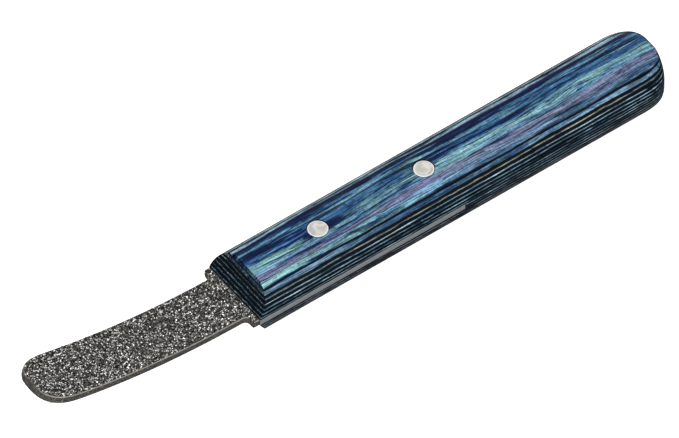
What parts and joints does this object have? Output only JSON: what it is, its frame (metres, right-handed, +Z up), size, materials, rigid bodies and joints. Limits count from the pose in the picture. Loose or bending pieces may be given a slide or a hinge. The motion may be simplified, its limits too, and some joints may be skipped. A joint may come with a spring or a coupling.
{
  "type": "farrier's diamond hoof file",
  "caption": "Hand file for hooves: an upswept steel plate coated with coarse diamond grit, its full-width tang riveted into a slotted handle of dyed laminated wood.",
  "frame": {"origin": "on the handle's flat underside, on its centre line, halfway along the handle", "axes": "+X along the handle towards the butt, so the blade points towards -X; +Z up, square to the plate and towards the side that the blade curves to; +Y across"},
  "size_m": [0.2137, 0.024, 0.0213],
  "materials": {
    "grit_coated_steel": "dark coarse diamond grit plated on the blade, bare ground steel on the tang",
    "veneer_navy": "dyed navy veneer, polished",
    "veneer_blue": "dyed blue veneer, polished",
    "veneer_black_blue": "dyed blue-black veneer, polished",
    "veneer_teal": "dyed pale teal veneer, polished",
    "rivet_metal": "bright satin rivet, buffed flush"
  },
  "bodies": {
    "root": {"blade_and_tang": "grit_coated_steel", "veneer_01": "veneer_navy", "veneer_02": "veneer_blue", "veneer_03": "veneer_black_blue", "veneer_04": "veneer_teal", "veneer_05": "veneer_navy", "veneer_06": "veneer_blue", "veneer_07": "veneer_black_blue", "veneer_08": "veneer_teal", "veneer_09": "veneer_navy", "veneer_10": "veneer_blue", "veneer_11": "veneer_black_blue", "veneer_12": "veneer_teal", "veneer_13": "veneer_navy", "veneer_14": "veneer_blue", "veneer_15": "veneer_black_blue", "veneer_16": "veneer_teal", "front_rivet_pin": "rivet_metal", "front_rivet_socket": "rivet_metal", "rear_rivet_pin": "rivet_metal", "rear_rivet_socket": "rivet_metal"}
  },
  "joints": []
}
